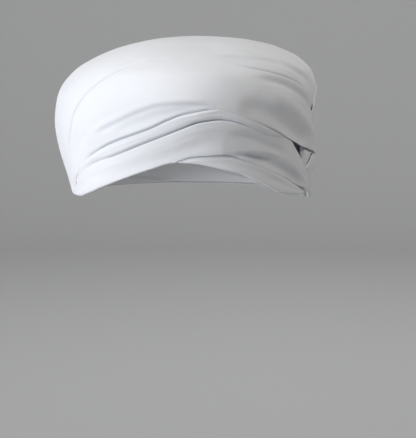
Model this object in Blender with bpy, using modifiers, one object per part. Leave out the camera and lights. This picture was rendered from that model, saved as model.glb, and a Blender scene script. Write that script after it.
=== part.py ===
"""Tied turban: a long white cloth wound round the head, over a padded core of inner turns.

Metres, +Z up. The origin is the seat, where the crown of the head touches the roof of the hollow.
The brow faces -Y. A place on the turban is a turn about the upright axis, in degrees from the brow
towards +X, and an along, the share of the way up the outer form from the hem, 0, to the crown, 1.
"""

import math

import bpy
import numpy as np

# Outer form
TURBAN_WIDTH = 0.192
TURBAN_DEPTH = 0.232
TURBAN_HEIGHT = 0.118
CROWN_RISE = 0.010  # crown above the seat

# Hollow for the head
HOLLOW_WIDTH = 0.150
HOLLOW_LENGTH = 0.192
HOLLOW_SETBACK = 0.002  # how far the hollow's centre lies behind the axis
HOLLOW_DOME = 0.050  # height of its domed roof
DOME_FULLNESS = 2.4  # 2 is an ellipse, more is squarer
RIM_RECESS = 0.0025  # the core's rim above the laps' hem

# Cloth
LAP_THICKNESS = 0.002
LAP_GAP = 0.0005  # between a lap and what it lies on or beside
CORE_CLEARANCE = 0.0010  # between the core and the lowest laps
LAP_TUCK = 0.006  # how far a lap runs on under its neighbour
TUCK_SHARE = 0.35  # or this share of the neighbour's height where that is less
LAP_BULGE = 0.0012  # how far a wide lap swells between its edges
WIDE_LAP = 0.040
EDGE_MARGIN = 0.001  # level strip past a lap's edge
MARGIN_SHARE = 0.125  # or this share of the lap's height where that is less
SEAM_SHARE = 0.1  # the gap beside an edge is no more than this share of the lap's height

LEVEL = LAP_THICKNESS + LAP_GAP  # one lap lying on another
LAP_DEPTH = LEVEL / 2  # the lowest laps' outer faces under the outer form
CORE_DEPTH = LAP_DEPTH + LAP_THICKNESS + CORE_CLEARANCE

# Outer form, a row for each ring. Columns: along; height as a share of TURBAN_HEIGHT; reach to the
# left and right as shares of half the width; reach to the front and back as shares of half the depth
FORM = [
    (0.0, 0.000, 0.885, 0.880, 0.853, 0.931),
    (0.1, 0.153, 0.950, 0.911, 0.858, 0.957),
    (0.2, 0.318, 1.006, 0.932, 0.884, 0.991),
    (0.3, 0.487, 1.034, 0.938, 0.940, 1.017),
    (0.4, 0.648, 1.005, 0.948, 0.974, 1.017),
    (0.5, 0.797, 0.872, 0.901, 0.931, 0.957),
    (0.6, 0.903, 0.640, 0.745, 0.767, 0.802),
    (0.7, 0.958, 0.440, 0.540, 0.569, 0.603),
    (0.8, 0.987, 0.275, 0.348, 0.379, 0.405),
    (0.9, 0.997, 0.133, 0.170, 0.190, 0.203),
    (1.0, 1.000, 0.000, 0.000, 0.000, 0.000),
]

# Lines between laps. Columns: turn; along; and which lap lies on top, from -1, the one below the
# line, to 1, the one above it. At 0 they lie edge to edge
HEM = [
    (-180, 0.000, 0),
    (-120, 0.010, 0),
    (-80, 0.026, 0),
    (-60, 0.033, 0),
    (-47, 0.059, 0),
    (-37, 0.087, 0),
    (-23, 0.127, 0),
    (-9, 0.166, 0),
    (1, 0.187, 0),
    (8, 0.185, 0),
    (22, 0.162, 0),
    (31, 0.141, 0),
    (39, 0.114, 0),
    (47, 0.082, 0),
    (54, 0.058, 0),
    (66, 0.045, 0),
    (90, 0.038, 0),
    (120, 0.014, 0),
    (180, 0.000, 0),
]
BROW_RIGHT_TOP = [
    (2, 0.197, 1),
    (8, 0.208, 1),
    (14, 0.214, 1),
    (22, 0.218, 1),
    (26, 0.216, 1),
    (31, 0.197, 1),
    (37, 0.178, 1),
    (49, 0.149, 1),
    (56, 0.124, 1),
    (64, 0.097, 1),
    (70, 0.076, 1),
    (76, 0.063, 1),
]
BROW_LEFT_TOP = [
    (-66, 0.052, -1),
    (-60, 0.078, -1),
    (-52, 0.117, -1),
    (-45, 0.157, -1),
    (-37, 0.180, -1),
    (-26, 0.208, -1),
    (-9, 0.264, -1),
    (7, 0.318, -1),
    (12, 0.331, -1),
    (20, 0.337, -1),
    (24, 0.336, -0.5),
    (28, 0.331, 0),
    (34, 0.316, 0),
    (48, 0.273, 0),
    (56, 0.257, 0),
    (58, 0.249, -0.5),
    (60, 0.239, -1),
    (65, 0.196, -1),
    (72, 0.139, -1),
    (79, 0.092, -1),
    (84, 0.062, -1),
]
PLEAT_TOP = [
    (-56, 0.118, -0.25),
    (-50, 0.150, -0.5),
    (-45, 0.178, -1),
    (-39, 0.204, -1),
    (-26, 0.252, -1),
    (-9, 0.306, -1),
    (-2, 0.335, -1),
    (4, 0.355, -1),
    (12, 0.368, -1),
    (16, 0.373, -0.5),
    (20, 0.376, 0),
    (24, 0.374, 0.5),
    (28, 0.367, 1),
    (38, 0.339, 1),
    (46, 0.305, 1),
    (52, 0.283, 1),
]
NAPE_TOP = [
    (73, 0.142, 0),
    (76, 0.156, 0),
    (80, 0.177, 0.5),
    (84, 0.190, 1),
    (90, 0.197, 1),
    (105, 0.202, 1),
    (150, 0.190, 1),
    (210, 0.160, 1),
    (258, 0.150, 1),
]
BACK_TOP = [
    (68, 0.178, 1),
    (72, 0.205, 1),
    (74, 0.219, 1),
    (84, 0.217, 1),
    (100, 0.262, 1),
    (120, 0.320, 1),
    (150, 0.362, 1),
    (180, 0.372, 1),
    (210, 0.350, 1),
    (222, 0.337, 0.5),
    (228, 0.330, 0),
    (247, 0.300, 0),
]
UPPER_FOOT = [
    (56, 0.269, 1),
    (60, 0.256, 1),
    (66, 0.237, 1),
    (72, 0.225, 1),
    (74, 0.222, 1),
]
UPPER_TOP = [
    (-66, 0.052, -0.5),
    (-62, 0.088, -0.5),
    (-60, 0.117, -0.5),
    (-57, 0.172, -0.75),
    (-54, 0.238, -1),
    (-51, 0.291, -1),
    (-48, 0.350, -1),
    (-45, 0.388, -1),
    (-41, 0.432, -1),
    (-35, 0.496, -1),
    (-31, 0.530, -1),
    (-25, 0.553, -1),
    (-20, 0.581, -1),
    (-16, 0.594, -0.5),
    (-12, 0.603, 0),
    (0, 0.612, 0),
    (18, 0.604, 0),
    (32, 0.562, 0),
    (36, 0.549, -0.5),
    (40, 0.540, -1),
    (45, 0.534, -1),
    (51, 0.509, -1),
    (57, 0.482, -1),
    (63, 0.447, -1),
    (67, 0.398, -1),
    (72, 0.340, -1),
    (78, 0.318, -1),
    (87, 0.312, -1),
    (105, 0.370, -1),
    (120, 0.420, -1),
    (150, 0.490, -1),
    (180, 0.520, -1),
    (192, 0.512, -0.5),
    (198, 0.505, 0),
    (204, 0.490, 0.5),
    (210, 0.465, 1),
    (220, 0.400, 1),
    (230, 0.322, 1),
    (240, 0.235, 1),
    (248, 0.155, 1),
    (255, 0.085, 1),
    (261, 0.030, 1),
]

# Laps from the hem up. Columns: name; line at its top; where it starts and ends; rows between its edges
LAPS = [
    ("brow_wrap_right", BROW_RIGHT_TOP, 4, 76, 1),
    ("brow_wrap_left", BROW_LEFT_TOP, -66, 84, 2),
    ("brow_pleat", PLEAT_TOP, -56, 52, 1),
    ("nape_wrap", NAPE_TOP, 74, 258, 1),
    ("back_wrap", BACK_TOP, 68, 246, 1),
    ("upper_wrap", UPPER_TOP, -62, 228, 5),
]
CROWN_ROWS = 9
CROWN_LAST_SHARE = 0.95
CORE_ROWS = 8
CORE_EVERY = 2  # the core has a section at every second turn
WALL_ROWS_SHARE = 1.4  # above 1 the rows of the hollow's wall gather towards its roof

# Rows gather at the shoulder, where the form bends most: its along, how far the crowding reaches
# each way, and the share of rows that it adds
SHOULDER_SHARE = 0.52
SHOULDER_REACH_SHARE = 0.10
SHOULDER_ROWS_SHARE = 1.5
ROW_STEPS = 60  # fine steps in which a height is measured

# How the form's outward direction is read: over a little to each side, and not past the last share
TURN_TO_SIDE = 0.5
SHARE_TO_SIDE = 0.01
OUTWARD_LAST_SHARE = 0.97

# Turns of the sections, from a start to an end by a step, closer where lines are steep or cross
SECTION_STEPS = [
    (-96, -66, 6),
    (-66, -44, 2),
    (-44, 56, 4),
    (56, 76, 2),
    (76, 84, 4),
    (84, 264, 6),
]

CLOTH_COLOUR = (0.80, 0.81, 0.84, 1.0)
CLOTH_ROUGHNESS = 0.9


def smooth_step(share):
    share = np.clip(share, 0, 1)
    return share * share * (3 - 2 * share)


def curve_through(xs, ys, x):
    """A smooth curve through the points that keeps between neighbouring values."""
    xs, ys = np.asarray(xs, float), np.asarray(ys, float)
    x = np.clip(x, xs[0], xs[-1])
    width = np.diff(xs)
    slope = np.diff(ys) / width
    tangent = np.concatenate([slope[:1], np.zeros(len(xs) - 2), slope[-1:]])
    same_way = slope[:-1] * slope[1:] > 0
    before, after = slope[:-1][same_way], slope[1:][same_way]
    tangent[1:-1][same_way] = 2 * before * after / (before + after)
    i = np.clip(np.searchsorted(xs, x, side="right") - 1, 0, len(xs) - 2)
    s = (x - xs[i]) / width[i]
    start = (1 + 2 * s) * (1 - s) ** 2 * ys[i] + s * s * (3 - 2 * s) * ys[i + 1]
    lean = s * (1 - s) ** 2 * tangent[i] + s * s * (s - 1) * tangent[i + 1]
    return start + width[i] * lean


def on_form(turn, along):
    """The point of the outer form at a turn and an along."""
    rows = np.array(FORM).T
    rise, left, right, front, back = (curve_through(rows[0], row, along) for row in rows[1:])
    angle = np.radians(turn)
    across, ahead = np.sin(angle), np.cos(angle)
    x = across * np.where(across > 0, right, left) * TURBAN_WIDTH / 2
    y = -ahead * np.where(ahead > 0, front, back) * TURBAN_DEPTH / 2
    z = CROWN_RISE + (rise - 1) * TURBAN_HEIGHT
    return np.stack(np.broadcast_arrays(x, y, z), axis=-1)


def outward(turn, along):
    """The direction straight out of the form. Beside the crown it is read a little lower down."""
    along = np.clip(along, SHARE_TO_SIDE, OUTWARD_LAST_SHARE)
    round_it = on_form(turn + TURN_TO_SIDE, along) - on_form(turn - TURN_TO_SIDE, along)
    up_it = on_form(turn, along + SHARE_TO_SIDE) - on_form(turn, along - SHARE_TO_SIDE)
    normal = np.cross(round_it, up_it)
    return normal / np.linalg.norm(normal, axis=-1, keepdims=True)


def at_depth(turn, along, depth):
    """The point that lies this deep under the outer form."""
    return on_form(turn, along) - outward(turn, along) * np.asarray(depth)[..., None]


def meridian_length():
    """From hem to crown over the left side."""
    points = on_form(-90.0, np.linspace(0, 1, ROW_STEPS))
    return float(np.linalg.norm(np.diff(points, axis=0), axis=1).sum())


MERIDIAN = meridian_length()


def line_at(rows, turn):
    """A line's along at a turn, and which lap lies on top there."""
    turns, alongs, overs = zip(*rows)
    return float(curve_through(turns, alongs, turn)), float(np.interp(turn, turns, overs))


def hem_at(turn):
    return line_at(HEM, (turn + 180) % 360 - 180)[0]


def is_there(lap, turn):
    _, _, start, end, _ = lap
    return start <= turn <= end


def laps_at(turn):
    """The laps that a section passes through, upwards: name, foot, head, then who is on top at each.

    A turn runs from the first section's to a full turn later. The crown wrap comes last.
    """
    floor, floor_over, below = hem_at(turn), 0.0, None
    crown_foot, crown_over = line_at(UPPER_TOP, turn)
    if turn < UPPER_TOP[0][0] or turn > UPPER_TOP[-1][0]:
        crown_foot, crown_over = floor, 0.0
    found = []
    for lap in LAPS:
        if not is_there(lap, turn):
            continue
        name, rows = lap[:2]
        foot, foot_over = floor, floor_over
        if name == "upper_wrap" and UPPER_FOOT[0][0] <= turn <= UPPER_FOOT[-1][0]:
            foot = max(floor, line_at(UPPER_FOOT, turn)[0])
            foot_over = 1.0
            if foot > floor:
                below = None
        head, head_over = line_at(rows, turn)
        if head >= crown_foot:
            head, head_over = crown_foot, crown_over
        found.append([name, foot, head, foot_over, head_over, below])
        floor, floor_over, below = head, head_over, found[-1]
    found.append(["crown_wrap", crown_foot, 1.0, crown_over, 0.0, below])
    return found


def tuck_under(height, over):
    """How far a lap runs on under a neighbour of this height, as an along."""
    full = min(LAP_TUCK / MERIDIAN, TUCK_SHARE * height)
    return max(0.0, 2 * abs(over) - 1) * full


def lift_of(over):
    """How far a lap that lies on top is raised."""
    return min(1.0, 2 * abs(over)) * LEVEL


def spread_rows(foot, head, count):
    """Alongs from foot to head, closer together at the shoulder."""
    fine = np.linspace(foot, head, ROW_STEPS)
    beside = (fine - SHOULDER_SHARE) / SHOULDER_REACH_SHARE
    crowding = 1 + SHOULDER_ROWS_SHARE * np.exp(-(beside**2))
    passed = np.concatenate([[0], np.cumsum((crowding[1:] + crowding[:-1]) / 2)])
    return np.interp(np.linspace(0, passed[-1], count), passed, fine)


def lap_section(lap, above, rows):
    """One section of a lap: the alongs and depths of its outer face, from its lower edge up."""
    name, foot, head, foot_over, head_over, below = lap
    height = head - foot
    margin = min(EDGE_MARGIN / MERIDIAN, MARGIN_SHARE * height)
    seam = min(LAP_GAP / MERIDIAN / 2, SEAM_SHARE * height)
    start, foot_end, foot_lift = foot + seam, foot + margin, 0.0
    if foot_over > 0:
        foot_end += tuck_under(height, foot_over)
        foot_lift = lift_of(foot_over)
    elif foot_over < 0 and below is not None:
        start -= tuck_under(below[2] - below[1], foot_over)
    end, head_end, head_lift = head - seam, head - margin, 0.0
    if head_over < 0:
        head_end -= tuck_under(height, head_over)
        head_lift = lift_of(head_over)
    elif head_over > 0 and above is not None:
        end += tuck_under(above[2] - above[1], head_over)
    if name == "crown_wrap":
        head_end = CROWN_LAST_SHARE
    alongs = spread_rows(foot_end, head_end, rows + 2)
    between = (alongs - foot_end) / (head_end - foot_end)
    swell = LAP_BULGE * min(1.0, height * MERIDIAN / WIDE_LAP) * np.sin(math.pi * between)
    lifts = foot_lift + (head_lift - foot_lift) * smooth_step(between) + swell
    depths = LAP_DEPTH - lifts
    if name == "crown_wrap":
        return np.append(start, alongs), np.append(depths[0], depths)
    return np.concatenate([[start], alongs, [end]]), np.concatenate([depths[:1], depths, depths[-1:]])


def section_turns():
    """The turns of all sections, each once, from the first one to a full turn later."""
    return [t for first, last, step in SECTION_STEPS for t in range(first, last, step)]


def cloth():
    material = bpy.data.materials.new("white_cotton")
    material.use_nodes = True
    shader = material.node_tree.nodes["Principled BSDF"]
    shader.inputs["Base Color"].default_value = CLOTH_COLOUR
    shader.inputs["Roughness"].default_value = CLOTH_ROUGHNESS
    return material


def add_object(name, points, faces, collection, material):
    mesh = bpy.data.meshes.new(name)
    mesh.from_pydata([tuple(p) for p in points], [], faces)
    mesh.materials.append(material)
    mesh.shade_smooth()
    piece = bpy.data.objects.new(name, mesh)
    collection.objects.link(piece)
    return piece


def grid_faces(sections, rows, closed=False):
    """Quads between neighbouring sections, facing out where the sections run round from -X to +X."""
    faces = []
    for i in range(sections if closed else sections - 1):
        here, there = i * rows, (i + 1) % sections * rows
        for j in range(rows - 1):
            faces.append((here + j, there + j, there + j + 1, here + j + 1))
    return faces


def give_thickness(piece):
    """An open surface is the lap's outer face, and the cloth goes inwards from it."""
    solidify = piece.modifiers.new("cloth", "SOLIDIFY")
    solidify.thickness = LAP_THICKNESS
    solidify.offset = -1


def add_laps(turns, collection):
    stacks = {turn: laps_at(turn) for turn in turns}
    for name, _, start, end, rows in LAPS:
        points, sections = [], 0
        for turn in turns:
            stack = stacks[turn]
            names = [lap[0] for lap in stack]
            if name not in names:
                continue
            k = names.index(name)
            alongs, depths = lap_section(stack[k], stack[k + 1], rows)
            points.extend(at_depth(float(turn), alongs, depths))
            sections += 1
        faces = grid_faces(sections, len(points) // sections)
        give_thickness(add_object(name, points, faces, collection, cloth()))


def add_crown(turns, collection):
    """The crown wrap closes over the top, so its sections meet in one point."""
    points = []
    for turn in turns:
        alongs, depths = lap_section(laps_at(turn)[-1], None, CROWN_ROWS)
        points.extend(at_depth(float(turn), alongs, depths))
    rows = len(points) // len(turns)
    faces = grid_faces(len(turns), rows, closed=True)
    points.append((0.0, 0.0, CROWN_RISE - LAP_DEPTH))
    for i in range(len(turns)):
        last, following = i * rows + rows - 1, (i + 1) % len(turns) * rows + rows - 1
        faces.append((last, following, len(points) - 1))
    give_thickness(add_object("crown_wrap", points, faces, collection, cloth()))


def in_hollow(turn, height):
    """The point of the hollow's wall at a turn and a height, which is 0 at the seat."""
    below_roof = np.clip(1 + height / HOLLOW_DOME, 0, 1)
    width = (1 - below_roof**DOME_FULLNESS) ** (1 / DOME_FULLNESS)
    angle = math.radians(turn)
    x = math.sin(angle) * width * HOLLOW_WIDTH / 2
    y = HOLLOW_SETBACK * width - math.cos(angle) * width * HOLLOW_LENGTH / 2
    return np.stack(np.broadcast_arrays(x, y, height), axis=-1)


def add_core(turns, collection):
    """The inner turns: a dome between the laps and the hollow, with unlike sections all round."""
    points = []
    for turn in turns:
        foot = hem_at(turn) + RIM_RECESS / MERIDIAN
        alongs = spread_rows(foot, CROWN_LAST_SHARE, CORE_ROWS)
        outer = at_depth(float(turn), alongs, np.full(CORE_ROWS, CORE_DEPTH))
        share = np.linspace(1, 0, CORE_ROWS + 1)[:-1]
        heights = outer[0][2] * np.sin(share * math.pi / 2) ** WALL_ROWS_SHARE
        inner = in_hollow(turn, heights)
        points.extend(outer[::-1])
        points.extend(inner)
    rows = 2 * CORE_ROWS
    faces = [face[::-1] for face in grid_faces(len(turns), rows, closed=True)]
    top, roof = len(points), len(points) + 1
    points.append((0.0, 0.0, CROWN_RISE - CORE_DEPTH))
    points.append((0.0, 0.0, 0.0))
    for i in range(len(turns)):
        here, there = i * rows, (i + 1) % len(turns) * rows
        faces.append((here, there, top))
        faces.append((there + rows - 1, here + rows - 1, roof))
    add_object("under_wrap", points, faces, collection, cloth())


def main():
    for old in list(bpy.data.objects):
        bpy.data.objects.remove(old)
    collection = bpy.data.collections.new("tied_turban")
    bpy.context.scene.collection.children.link(collection)
    turns = section_turns()
    add_core(turns[::CORE_EVERY], collection)
    add_laps(turns, collection)
    add_crown(turns, collection)


main()
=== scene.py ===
import math

import bpy
import numpy as np
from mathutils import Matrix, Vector, noise


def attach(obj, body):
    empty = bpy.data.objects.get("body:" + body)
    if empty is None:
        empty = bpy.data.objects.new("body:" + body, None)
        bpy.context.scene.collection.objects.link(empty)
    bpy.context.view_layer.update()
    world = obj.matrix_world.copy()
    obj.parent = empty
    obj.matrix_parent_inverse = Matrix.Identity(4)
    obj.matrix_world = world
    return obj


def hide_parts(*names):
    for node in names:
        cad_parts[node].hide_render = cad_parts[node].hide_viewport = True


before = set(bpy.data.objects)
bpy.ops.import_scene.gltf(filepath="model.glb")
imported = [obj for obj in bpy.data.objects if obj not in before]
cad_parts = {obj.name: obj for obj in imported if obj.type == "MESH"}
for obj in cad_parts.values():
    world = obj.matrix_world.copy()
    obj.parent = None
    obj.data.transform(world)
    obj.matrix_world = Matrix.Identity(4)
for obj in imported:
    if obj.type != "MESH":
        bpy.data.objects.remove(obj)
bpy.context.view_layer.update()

# Inner turns
# The core is the first length of cloth, wound round and round into a firm pad with a domed hollow.
# It shows inside the hollow, at the rim and in the slit beside the ear. Turns are overlapped, not sewn.

# A place on the turban is a turn, in degrees from the brow towards image right, and an along, the share
# of the way from the hem (0) to the middle of the crown (1). All lengths are in metres
MM = 0.001
TURBAN_WIDTH = 0.192
TURBAN_DEPTH = 0.232
TURBAN_HEIGHT = 0.118
CROWN_RISE = 0.010
HOLLOW_WIDTH = 0.150
HOLLOW_LENGTH = 0.192
HOLLOW_SETBACK = 0.002
HOLLOW_DOME = 0.050
DOME_FULLNESS = 2.4
RIM_RECESS = 0.0028
LAP_DEPTH = 0.00125
LAP_THICKNESS = 0.0012
CORE_DEPTH = LAP_DEPTH + 0.003
CORE_EASE = 0.0018
CORE_EASE_REACH = 0.012

# Outer form. Columns: along; height as a share of TURBAN_HEIGHT; reach to the left and right as
# shares of half the width; reach to the front and back as shares of half the depth
FORM = [
    (0.0, 0.000, 0.885, 0.900, 0.853, 0.931),
    (0.1, 0.153, 0.950, 0.924, 0.858, 0.957),
    (0.2, 0.318, 1.006, 0.940, 0.884, 0.991),
    (0.3, 0.487, 1.034, 0.950, 0.940, 1.017),
    (0.4, 0.648, 1.005, 0.960, 0.974, 1.017),
    (0.5, 0.797, 0.872, 0.912, 0.931, 0.957),
    (0.6, 0.903, 0.640, 0.745, 0.767, 0.802),
    (0.7, 0.958, 0.440, 0.540, 0.569, 0.603),
    (0.8, 0.987, 0.275, 0.348, 0.379, 0.405),
    (0.9, 0.997, 0.133, 0.170, 0.190, 0.203),
    (1.0, 1.000, 0.000, 0.000, 0.000, 0.000),
]
# The hem. Columns: turn; along
HEM = [
    (-180, 0.000), (-120, 0.010), (-80, 0.026), (-60, 0.033), (-47, 0.059), (-37, 0.087),
    (-23, 0.127), (-9, 0.166), (0, 0.187), (1, 0.187), (8, 0.185), (22, 0.162),
    (31, 0.144), (39, 0.117), (47, 0.085), (54, 0.061), (62, 0.048), (73, 0.041),
    (78, 0.044), (84, 0.036), (90, 0.016), (96, 0.003), (120, 0.001), (180, 0.000),
]


def smooth_step(share):
    """From 0 to 1 with a level start and end."""
    share = np.clip(share, 0, 1)
    return share * share * (3 - 2 * share)


def curve_through(xs, ys, x):
    """A smooth curve through the points that keeps between neighbouring values."""
    xs, ys = np.asarray(xs, float), np.asarray(ys, float)
    x = np.clip(x, xs[0], xs[-1])
    width = np.diff(xs)
    slope = np.diff(ys) / width
    tangent = np.concatenate([slope[:1], np.zeros(len(xs) - 2), slope[-1:]])
    same_way = slope[:-1] * slope[1:] > 0
    before, after = slope[:-1][same_way], slope[1:][same_way]
    tangent[1:-1][same_way] = 2 * before * after / (before + after)
    i = np.clip(np.searchsorted(xs, x, side="right") - 1, 0, len(xs) - 2)
    s = (x - xs[i]) / width[i]
    start = (1 + 2 * s) * (1 - s) ** 2 * ys[i] + s * s * (3 - 2 * s) * ys[i + 1]
    lean = s * (1 - s) ** 2 * tangent[i] + s * s * (s - 1) * tangent[i + 1]
    return start + width[i] * lean


FORM_ROWS = np.array(FORM).T
FINE_ALONG = np.linspace(0, 1, 401)
EASE_STEPS = 12


def eased_form():
    """The form's columns read finely and eased, so that no ring shows as a crease."""
    columns = [curve_through(FORM_ROWS[0], row, FINE_ALONG) for row in FORM_ROWS[1:]]
    window = np.hanning(2 * EASE_STEPS + 3)[1:-1]
    eased = []
    for column in columns:
        # Past the crown's middle the height comes down again, and a reach goes on to the other side
        mirror = 1 if column[-1] > 0.5 else -1
        for _ in range(2):
            before = 2 * column[0] - column[EASE_STEPS:0:-1]
            beyond = mirror * column[-2 : -2 - EASE_STEPS : -1]
            padded = np.concatenate([before, column, beyond])
            column = np.convolve(padded, window / window.sum(), mode="same")[EASE_STEPS:-EASE_STEPS]
        eased.append(column)
    return eased


FORM_FINE = eased_form()


def on_form(turn, along):
    """The point of the outer form at a turn in degrees and an along."""
    rise, left, right, front, back = (np.interp(along, FINE_ALONG, column) for column in FORM_FINE)
    angle = np.radians(turn)
    across, ahead = np.sin(angle), np.cos(angle)
    x = across * np.where(across > 0, right, left) * TURBAN_WIDTH / 2
    y = -ahead * np.where(ahead > 0, front, back) * TURBAN_DEPTH / 2
    z = CROWN_RISE + (rise - 1) * TURBAN_HEIGHT
    return np.stack(np.broadcast_arrays(x, y, z), axis=-1)


def outward(turn, along):
    """The direction straight out of the form. Beside the crown it is read a little lower down."""
    along = np.clip(along, 0.01, 0.97)
    round_it = on_form(turn + 0.5, along) - on_form(turn - 0.5, along)
    up_it = on_form(turn, along + 0.01) - on_form(turn, along - 0.01)
    normal = np.cross(round_it, up_it)
    return normal / np.linalg.norm(normal, axis=-1, keepdims=True)


def above_form(turn, along, height):
    """The point this high over the outer form."""
    return on_form(turn, along) + outward(turn, along) * np.asarray(height)[..., None]


MERIDIAN = float(np.linalg.norm(np.diff(on_form(-90.0, FINE_ALONG), axis=0), axis=1).sum())


def hem_at(turn):
    """The hem's along at a turn."""
    turns, alongs = zip(*HEM)
    return curve_through(turns, alongs, (np.asarray(turn, float) + 180) % 360 - 180)


class Socket:
    """A node's output. Maths on it adds the nodes."""

    def __init__(self, tree, output):
        self.tree, self.output = tree, output

    def node(self, kind, settings, **inputs):
        """Any node: its type, its settings and the values or links of its sockets."""
        made = self.tree.nodes.new(kind)
        for name, value in settings.items():
            setattr(made, name, value)
        for name, value in inputs.items():
            key = int(name[1:]) if name[0] == "i" and name[1:].isdigit() else name.replace("_", " ")
            if isinstance(value, Socket):
                self.tree.links.new(value.output, made.inputs[key])
            else:
                made.inputs[key].default_value = value
        return made

    def out(self, kind, settings, output=0, **inputs):
        return Socket(self.tree, self.node(kind, settings, **inputs).outputs[output])

    def maths(self, operation, first, second=0.0):
        return self.out("ShaderNodeMath", {"operation": operation}, i0=first, i1=second)

    def __add__(self, other):
        return self.maths("ADD", self, other)

    def __sub__(self, other):
        return self.maths("SUBTRACT", self, other)

    def __mul__(self, other):
        return self.maths("MULTIPLY", self, other)

    def __rsub__(self, other):
        return self.maths("SUBTRACT", other, self)

    __radd__ = __add__
    __rmul__ = __mul__


COTTON = (0.82, 0.825, 0.84, 1.0)
# Painted shade: the bluish grey that the cotton's colour is mixed towards in creases, tucks, along the
# core's rim and in the slit, where shade falls
COTTON_PAINTED_SHADE = (0.40, 0.44, 0.54, 1.0)
THREAD_PITCH = 0.00042
WEAVE_RELIEF = 0.00006
CRINKLE_RELIEF = 0.0004
CRINKLES_A_METRE = 190.0
SLUB_LENGTH = 0.012
SLUB_STRETCH = 14
SHARP_EDGE = math.radians(55)


def cotton_cloth(name, painted_shade_strength):
    """Matt white plain-woven cotton: fine threads, faint slubs and a bluish painted shade where folds close
    and in other recesses.
    """
    material = bpy.data.materials.new(name)
    material.use_nodes = True
    tree = material.node_tree
    shader = tree.nodes["Principled BSDF"]
    start = tree.nodes.new("ShaderNodeAttribute")
    start.attribute_name = "cloth"
    place = Socket(tree, start.outputs["Vector"])
    # The fold attribute says how much painted shade a point gets
    painted_shade = tree.nodes.new("ShaderNodeAttribute")
    painted_shade.attribute_name = "fold"
    fold = Socket(tree, painted_shade.outputs["Fac"])
    threads = place.out("ShaderNodeVectorMath", {"operation": "SCALE"}, i0=place, i3=1 / THREAD_PITCH)
    split = place.node("ShaderNodeSeparateXYZ", {}, i0=threads)
    along, across = (Socket(tree, split.outputs[i]) for i in (0, 1))
    warp = place.maths("SINE", along * math.pi)
    weft = place.maths("SINE", across * math.pi)
    weave = warp * weft
    stretched = place.out(
        "ShaderNodeVectorMath", {"operation": "MULTIPLY"}, i0=place, i1=(1, SLUB_STRETCH, 1)
    )
    slub = place.out(
        "ShaderNodeTexNoise", {}, Vector=stretched, Scale=1 / SLUB_LENGTH, Detail=3.0, Roughness=0.6
    )
    crinkle = place.out(
        "ShaderNodeTexNoise", {}, Vector=place, Scale=CRINKLES_A_METRE, Detail=4.0, Roughness=0.55
    )
    # Painted shade: the fold attribute mixes the colour towards the painted shade colour; the slubs add a
    # faint random tone
    painted_shade_and_slubs = place.maths("MULTIPLY", fold, painted_shade_strength)
    painted_shade_and_slubs = place.out("ShaderNodeClamp", {}, Value=painted_shade_and_slubs + (slub - 0.5) * 0.10)
    colour = place.out(
        "ShaderNodeMix", {"data_type": "RGBA"}, output=2, i0=painted_shade_and_slubs, i6=COTTON, i7=COTTON_PAINTED_SHADE
    )
    tree.links.new(colour.output, shader.inputs["Base Color"])
    tree.links.new((slub * 0.12 + 0.80).output, shader.inputs["Roughness"])
    soft = place.node("ShaderNodeBump", {}, Strength=0.5, Distance=CRINKLE_RELIEF, Height=crinkle)
    fine = place.node("ShaderNodeBump", {}, Strength=0.6, Distance=WEAVE_RELIEF, Height=weave + slub)
    tree.links.new(soft.outputs[0], fine.inputs["Normal"])
    tree.links.new(fine.outputs[0], shader.inputs["Normal"])
    shader.inputs["Sheen Weight"].default_value = 0.15
    shader.inputs["Sheen Roughness"].default_value = 0.5
    shader.inputs["Specular IOR Level"].default_value = 0.25
    return material


def cloth_object(name, points, faces, cloth, fold, material):
    """A smooth piece that carries its place on the cloth, in metres, and the painted shade where its folds
    close and in its recesses.
    """
    mesh = bpy.data.meshes.new(name)
    mesh.from_pydata([tuple(p) for p in points], [], faces)
    mesh.materials.append(material)
    mesh.shade_smooth()
    where = mesh.attributes.new("cloth", "FLOAT_VECTOR", "POINT")
    where.data.foreach_set("vector", np.asarray(cloth, np.float32).ravel())
    # The fold attribute holds the painted shade, from 0 to 1
    depth = mesh.attributes.new("fold", "FLOAT", "POINT")
    depth.data.foreach_set("value", np.asarray(fold, np.float32).ravel())
    mesh.validate()
    mesh.set_sharp_from_angle(angle=SHARP_EDGE)
    piece = bpy.data.objects.new(name, mesh)
    bpy.context.scene.collection.objects.link(piece)
    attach(piece, "root")
    return piece


CORE_TURNS = np.arange(0, 360, 1.5)
CORE_TOP = 0.97
WALL_ROWS = 70
RIM_ROWS = 30
OUTER_ROWS = 50
WALL_CROWDING = 1.3

# The inner turns: how far apart their edges are, how high an edge stands, how the turns slant and
# wave, and how far up from the rim their edges grow to full height
TURN_PITCH = 0.021
TURN_STEP = 0.0011
TURN_SLANT = 0.016
TURN_WAVE = 0.004
TURN_EDGE = 0.12
TURN_FADE = 0.03

# The rim: the thickness of a wound layer, the hollow between two layers, how unevenly they end, and
# how much painted shade darkens the rim
LAYER = 0.0024
LAYER_RELIEF = 0.0011
LAYER_UNEVEN = 0.0006
RIM_PAINTED_SHADE = 0.2

# The slit beside the ear, where the laps part and the core falls away, and the painted shade that darkens
# it
SLIT_TURN = 67
SLIT_HALF_TURN = 6
SLIT_ALONG = 0.215
SLIT_HALF_ALONG = 0.045
SLIT_DEPTH = 0.007
SLIT_PAINTED_SHADE = 0.8


def in_hollow(turn, height, outset):
    """The hollow's wall at a turn and height, moved out into the pad."""
    below_roof = np.clip(1 + height / HOLLOW_DOME, 0, 1)
    width = (1 - below_roof**DOME_FULLNESS) ** (1 / DOME_FULLNESS)
    angle = math.radians(turn)
    x = math.sin(angle) * (width * HOLLOW_WIDTH / 2 + outset)
    y = HOLLOW_SETBACK * width - math.cos(angle) * (width * HOLLOW_LENGTH / 2 + outset)
    return np.stack(np.broadcast_arrays(x, y, height), axis=-1)


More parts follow.
